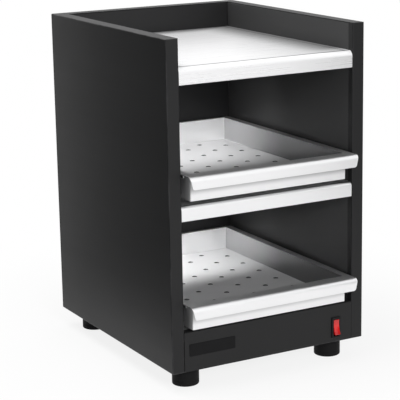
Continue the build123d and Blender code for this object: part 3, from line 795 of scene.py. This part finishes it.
def faceArc(values, end):
    # The hollow face: a circle through the two ends and the middle.
    rise = end - values["middle"]
    half = values["half"]
    radius = (half * half + rise * rise) / (2 * rise)
    points = []
    for step in range(values["faceSteps"] + 1):
        v = -half + 2 * half * step / values["faceSteps"]
        points.append((values["middle"] + radius - (radius * radius - v * v) ** 0.5, v))
    return points


def makeRocker(values):
    pivot = Vector(next(j["pos_m"] for j in frame["joints"] if j["child"] == "rocker"))
    tilt = radians(values["tilt"])
    forward, upward = Vector((0, -cos(tilt), sin(tilt))), Vector((0, sin(tilt), cos(tilt)))
    low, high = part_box("rocker")
    end = values["middle"] + values["half"] * sin(tilt) / cos(tilt)
    face = faceArc(values, end)
    shoulder, hub, trunnion = values["shoulder"], values["hubRadius"], values["trunnion"]
    points = face + [(trunnion, shoulder), (-hub, hub), (-hub, -hub), (trunnion, -shoulder)]
    radii = [0] * len(points)
    radii[0] = radii[len(face) - 1] = values["endRound"]
    section = rounded(points, radii, values["endSteps"])
    halfWidth = (high.x - low.x) / 2 - values["trunnionLength"]
    rings = []
    for x in (-halfWidth, halfWidth):
        rings.append([pivot + Vector((x, 0, 0)) + forward * u + upward * v for u, v in section])
    body = bpy.data.objects.new("rockerBody", joinRings(rings, closed=False))
    scene.collection.objects.link(body)
    bevel = body.modifiers.new("softEdges", "BEVEL")
    bevel.width = values["sideRound"]
    bevel.segments = values["roundSteps"]
    bevel.angle_limit = radians(values["sharpAngle"])
    shape = bakeModifiers(body)
    bpy.data.objects.remove(body)

    circle = [2 * pi * k / values["pinSides"] for k in range(values["pinSides"])]
    pins = []
    for x in (low.x, high.x):
        pins.append([(x, pivot.y + cos(a) * trunnion, pivot.z + sin(a) * trunnion) for a in circle])
    form = bmesh.new()
    form.from_mesh(shape)
    form.from_mesh(joinRings(pins, closed=False))
    form.to_mesh(shape)
    form.free()
    placePiece("clear_rocker", shape, "rocker_red", "rocker", "rocker", values["sharpAngle"])


def makeSwitchFrame(values):
    low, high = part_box("switch_housing")
    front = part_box("base_fascia")[0].y
    middle = (low + high) / 2
    halfWidth = (high.x - low.x) / 2 + values["frameProud"]
    halfHeight = (high.z - low.z) / 2 + values["frameProud"]
    proud = front - low.y + values["frameProud"]
    width = values["frameWidth"]
    corners = [(0, 0), (0, proud), (width, proud), (width, 0)]
    section = rounded(corners, [0, values["frameRound"], values["frameInner"], 0])
    rings = []
    for inset, rise in section:
        corner = max(values["frameCorner"] - inset, values["frameLeastCorner"])
        outline = roundedBox(halfWidth - inset, halfHeight - inset, corner)
        rings.append([(middle.x + x, front - rise, middle.z + z) for x, z in outline])
    placePiece("switch_frame", joinRings(rings, closed=True), "switch_black", "root")


makeRocker(switchValues)
makeSwitchFrame(switchValues)
print("switch made")


# Screws and rivets: one Geometry Nodes recipe with named sizes

class Recipe(Graph):
    def __init__(self, name):
        tree = bpy.data.node_groups.new(name, "GeometryNodeTree")
        super().__init__(tree)
        for direction in ("INPUT", "OUTPUT"):
            tree.interface.new_socket("Geometry", in_out=direction, socket_type="NodeSocketGeometry")
        self.entry = tree.nodes.new("NodeGroupInput")
        self.inputs = {}

    def ask(self, name, kind="Float"):
        socket = self.tree.interface.new_socket(name, in_out="INPUT", socket_type="NodeSocket" + kind)
        self.inputs[name] = socket.identifier
        return Signal(self, self.entry.outputs[name])

    def points(self):
        return Signal(self, self.entry.outputs["Geometry"])

    def vector(self, x, y, z):
        return self.make("ShaderNodeCombineXYZ", {}, {0: x, 1: y, 2: z})

    def moved(self, geometry, x, y, z):
        return self.make("GeometryNodeTransform", {}, {
            "Geometry": geometry, "Translation": self.vector(x, y, z)})

    def turned(self, angles):
        return self.make("FunctionNodeEulerToRotation", {}, {0: angles})

    def close(self, geometry, finish):
        whole = self.make("GeometryNodeRealizeInstances", {}, {"Geometry": geometry})
        done = self.make("GeometryNodeSetMaterial", {}, {"Geometry": whole, "Material": finish})
        self.make("NodeGroupOutput", {}, {"Geometry": done})


headValues = {"sides": 40, "rings": 8, "topShare": 0.9, "crownPower": 4.0, "shankSides": 20}


def fastenerRecipe(values):
    recipe = Recipe("fastenerRecipe")
    headRadius = recipe.ask("Head Radius")
    seatRadius = recipe.ask("Seat Radius")
    headHeight = recipe.ask("Head Height")
    crown = recipe.ask("Crown")
    slotLength = recipe.ask("Slot Length")
    slotWidth = recipe.ask("Slot Width")
    slotDepth = recipe.ask("Slot Depth")
    shankRadius = recipe.ask("Shank Radius")
    shankLength = recipe.ask("Shank Length")
    slotted = recipe.ask("Slotted", "Bool")
    facing = recipe.ask("Facing", "Vector")
    seed = recipe.ask("Seed", "Int")
    finish = recipe.ask("Finish", "Material")

    # A head from seat to top, whose rim drops away from the crown.
    head = recipe.make("GeometryNodeMeshCone", {"fill_type": "TRIANGLE_FAN"}, {
        "Vertices": values["sides"], "Side Segments": 1, "Fill Segments": values["rings"],
        "Radius Top": headRadius, "Radius Bottom": seatRadius, "Depth": headHeight})
    where = recipe.make("GeometryNodeInputPosition")
    x, y, z = (recipe.make("ShaderNodeSeparateXYZ", {}, {0: where}, output=i) for i in range(3))
    span = (x * x + y * y).maths("SQRT") / headRadius
    onTop = z.maths("GREATER_THAN", headHeight * values["topShare"])
    drop = span.maths("POWER", values["crownPower"]) * crown * onTop
    head = recipe.make("GeometryNodeSetPosition", {}, {
        "Geometry": head, "Offset": recipe.vector(0.0, 0.0, drop * -1.0)})

    # A cross recess, cut by two bars.
    bars = []
    for size in ((slotLength, slotWidth), (slotWidth, slotLength)):
        bar = recipe.make("GeometryNodeMeshCube", {}, {"Size": recipe.vector(*size, slotDepth * 2.0)})
        bars.append(recipe.moved(bar, 0.0, 0.0, headHeight))
    cut = recipe.make(
        "GeometryNodeMeshBoolean", {"operation": "DIFFERENCE", "solver": "EXACT"},
        {"Mesh 1": head, "Mesh 2": bars, "Self Intersection": True})
    head = recipe.make("GeometryNodeSwitch", {"input_type": "GEOMETRY"}, {
        "Switch": slotted, "False": head, "True": cut})
    shank = recipe.make("GeometryNodeMeshCylinder", {"fill_type": "NGON"}, {
        "Vertices": values["shankSides"], "Radius": shankRadius, "Depth": shankLength})
    shank = recipe.moved(shank, 0.0, 0.0, shankLength * -0.5)
    whole = recipe.make("GeometryNodeJoinGeometry", {}, {"Geometry": [head, shank]})

    # Each one stands on its own point, turned about its own axis by chance.
    spots = recipe.make("GeometryNodeMeshToPoints", {}, {"Mesh": recipe.points()})
    copies = recipe.make("GeometryNodeInstanceOnPoints", {}, {
        "Points": spots, "Instance": whole, "Rotation": recipe.turned(facing)})
    chance = recipe.make(
        "FunctionNodeRandomValue", {"data_type": "FLOAT"}, {2: 0.0, 3: pi, "Seed": seed}, output=1)
    copies = recipe.make("GeometryNodeRotateInstances", {}, {
        "Instances": copies, "Rotation": recipe.turned(recipe.vector(0.0, 0.0, chance))})
    recipe.close(copies, finish)
    return recipe


def growPiece(recipe, name, places, values, slotName, body, replaced=None):
    # Runs a recipe on a set of points and keeps the result as a plain mesh.
    seedMesh = bpy.data.meshes.new(name + "Points")
    seedMesh.from_pydata([tuple(place) for place in places], [], [])
    grower = bpy.data.objects.new(name + "Points", seedMesh)
    scene.collection.objects.link(grower)
    modifier = grower.modifiers.new("recipe", "NODES")
    modifier.node_group = recipe.tree
    settings = {**values, "Finish": looks[slotName]}
    for key, identifier in recipe.inputs.items():
        modifier[identifier] = settings[key]
    mesh = bpy.data.meshes.new_from_object(grower.evaluated_get(bpy.context.evaluated_depsgraph_get()))
    grower.modifiers.clear()
    bpy.data.objects.remove(grower)
    return placePiece(name, mesh, slotName, body, replaced)


def looseParts(name, mergeGap=0.000001):
    # The lowest and highest corners of each separate solid in a node.
    form = bmesh.new()
    form.from_mesh(nodes[name].data)
    bmesh.ops.remove_doubles(form, verts=form.verts, dist=mergeGap)
    left = set(form.verts)
    parts = []
    while left:
        queue, found = [left.pop()], []
        while queue:
            vertex = queue.pop()
            found.append(vertex.co.copy())
            for edge in vertex.link_edges:
                other = edge.other_vert(vertex)
                if other in left:
                    left.remove(other)
                    queue.append(other)
        parts.append([Vector(pick(point[i] for point in found) for i in range(3)) for pick in (min, max)])
    form.free()
    return sorted(parts, key=lambda part: tuple(round(v, 5) for v in part[0]))


fastenerValues = {
    "cover_screws": {
        "Head Radius": 0.004, "Seat Radius": 0.004, "Head Height": 0.002, "Crown": 0.0009,
        "Slot Length": 0.0042, "Slot Width": 0.00085, "Slot Depth": 0.0012,
        "Shank Radius": 0.002, "Shank Length": 0.009, "Slotted": True,
        "Facing": [-pi / 2, 0.0, 0.0], "Seed": 4},
    "inlet_screws": {
        "Head Radius": 0.0028, "Seat Radius": 0.0015, "Head Height": 0.0013, "Crown": 0.00008,
        "Slot Length": 0.0031, "Slot Width": 0.0006, "Slot Depth": 0.0007,
        "Shank Radius": 0.0015, "Shank Length": 0.0087, "Slotted": True,
        "Facing": [-pi / 2, 0.0, 0.0], "Seed": 9},
    "foot_screws": {
        "Head Radius": 0.005, "Seat Radius": 0.005, "Head Height": 0.0035, "Crown": 0.0014,
        "Slot Length": 0.0056, "Slot Width": 0.0011, "Slot Depth": 0.0018,
        "Shank Radius": 0.0025, "Shank Length": 0.0225, "Slotted": True,
        "Facing": [pi, 0.0, 0.0], "Seed": 15},
}
rivetValues = {
    "Head Radius": 0.0027, "Seat Radius": 0.0027, "Head Height": 0.0010, "Crown": 0.0009,
    "Slot Length": 0.001, "Slot Width": 0.001, "Slot Depth": 0.001,
    "Shank Radius": 0.0015, "Shank Length": 0.0011, "Slotted": False, "Seed": 21,
}
rivetPlaces = {"insets": (0.035, 0.1625, 0.29), "web": 0.0012}


def makeFasteners():
    recipe = fastenerRecipe(headValues)
    for name, values in fastenerValues.items():
        places = []
        for low, high in looseParts(name):
            middle = (low + high) / 2
            if name == "foot_screws":
                places.append((middle.x, middle.y, low.z + values["Head Height"]))
            else:
                places.append((middle.x, high.y - values["Head Height"], middle.z))
        growPiece(recipe, "cross_" + name, places, values, "zinc_steel", "root", name)
    for level in ("upper", "lower"):
        for hand, side in (("left", -1), ("right", 1)):
            low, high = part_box(f"{level}_{hand}_drawer_member")
            face = (high.x if side < 0 else low.x) + side * rivetPlaces["web"]
            places = [(face, low.y + inset, (low.z + high.z) / 2) for inset in rivetPlaces["insets"]]
            values = {**rivetValues, "Facing": [0.0, side * pi / 2, 0.0]}
            growPiece(recipe, f"{level}_{hand}_rivets", places, values, "zinc_steel", f"{level}_drawer")


makeFasteners()
print("fasteners grown")


# Studio

studioValues = {
    "floorHalf": 12.0,
    "floorTone": 0.88,
    "floorSelf": 0.85,
    "fadeStart": 0.25,
    "fadeWidth": 0.45,
    "worldSoft": 0.40,
    "worldSeen": 1.0,
    "lamps": {
        "keyLamp": {"place": (-0.35, -2.4, 1.3), "aim": (0, 0, 0.27), "size": (1.1, 0.6), "power": 28.0},
        "topLamp": {"place": (-0.5, 0.1, 2.2), "aim": (0, 0, 0.47), "size": (1.4, 1.4), "power": 31.0},
        "upperShelfLamp": {
            "place": (0.0, 0.0, 0.438), "aim": (-0.01, 0.115, 0.283), "size": (0.22, 0.06), "power": 0.27,
            "spread": 100},
        "lowerShelfLamp": {
            "place": (0.0, 0.01, 0.244), "aim": (-0.01, 0.13, 0.094), "size": (0.22, 0.06), "power": 0.24,
            "spread": 78},
    },
    "cards": {
        "leftCard": {"x": -0.30, "front": -0.60, "rear": 0.42, "top": 0.8},
        "rightCard": {"x": 0.75, "front": -1.10, "rear": -0.25, "top": 0.6},
    },
}


def seenRays(look):
    # 1 for what the camera sees, straight or through gloss and glass.
    rays = [look.make("ShaderNodeLightPath", {}, {}, output=name)
            for name in ("Is Camera Ray", "Is Glossy Ray", "Is Transmission Ray")]
    return (rays[0] + rays[1] + rays[2]).limited()


def makeFloor(values):
    half = values["floorHalf"]
    mesh = bpy.data.meshes.new("studioFloor")
    corners = [(-half, -half, 0), (half, -half, 0), (half, half, 0), (-half, half, 0)]
    mesh.from_pydata(corners, [], [(0, 1, 2, 3)])
    floor = bpy.data.objects.new("studioFloor", mesh)
    scene.collection.objects.link(floor)
    look = Look("floorPaper")
    here = look.place()
    away = look.make("ShaderNodeVectorMath", {"operation": "LENGTH"}, {0: here}, output="Value")
    tone = values["floorTone"]
    paper = look.make("ShaderNodeBsdfDiffuse", {}, {"Color": colour(tone, tone, tone)})
    lit = look.make("ShaderNodeEmission", {}, {"Color": colour(1, 1, 1), "Strength": values["worldSeen"]})
    reach = away.above(values["fadeStart"], values["fadeWidth"]) * (1 - values["floorSelf"])
    fade = (reach + values["floorSelf"]) * seenRays(look)
    mixed = look.make("ShaderNodeMixShader", {}, {0: fade, 1: paper, 2: lit})
    look.make("ShaderNodeOutputMaterial", {}, {"Surface": mixed})
    mesh.materials.append(look.material)


def makeCard(name, values):
    # A black card that only gloss sees: it shades the left side and the right end of the front.
    x, front, rear, top = (values[k] for k in ("x", "front", "rear", "top"))
    mesh = bpy.data.meshes.new(name)
    mesh.from_pydata([(x, front, 0), (x, rear, 0), (x, rear, top), (x, front, top)], [], [(0, 1, 2, 3)])
    card = bpy.data.objects.new(name, mesh)
    scene.collection.objects.link(card)
    look = Look(name + "Black")
    black = look.make("ShaderNodeBsdfDiffuse", {}, {"Color": colour(0, 0, 0)})
    look.make("ShaderNodeOutputMaterial", {}, {"Surface": black})
    mesh.materials.append(look.material)
    card.visible_camera = False
    card.visible_shadow = False
    card.visible_diffuse = False


def makeWorld(values):
    world = bpy.data.worlds.new("studioWorld")
    world.use_nodes = True
    scene.world = world
    look = Look("studioWorld", world.node_tree)
    strength = seenRays(look) * (values["worldSeen"] - values["worldSoft"]) + values["worldSoft"]
    glow = look.make("ShaderNodeBackground", {}, {"Color": colour(1, 1, 1), "Strength": strength})
    look.make("ShaderNodeOutputWorld", {}, {"Surface": glow})


def makeLamp(name, values):
    data = bpy.data.lights.new(name, "AREA")
    data.shape = "RECTANGLE"
    data.size, data.size_y = values["size"]
    data.energy = values["power"]
    lamp = bpy.data.objects.new(name, data)
    lamp.location = values["place"]
    aim = Vector(values["aim"]) - Vector(values["place"])
    lamp.rotation_euler = aim.to_track_quat("-Z", "Y").to_euler()
    if "spread" in values:
        # A small soft lamp inside the cabinet that is never seen, straight or in gloss.
        data.spread = radians(values["spread"])
        lamp.visible_camera = False
        lamp.visible_glossy = False
    scene.collection.objects.link(lamp)


makeFloor(studioValues)
for cardName, cardValues in studioValues["cards"].items():
    makeCard(cardName, cardValues)
makeWorld(studioValues)
for lampName, lampValues in studioValues["lamps"].items():
    makeLamp(lampName, lampValues)
scene.view_settings.view_transform = "Standard"
print("studio lit")
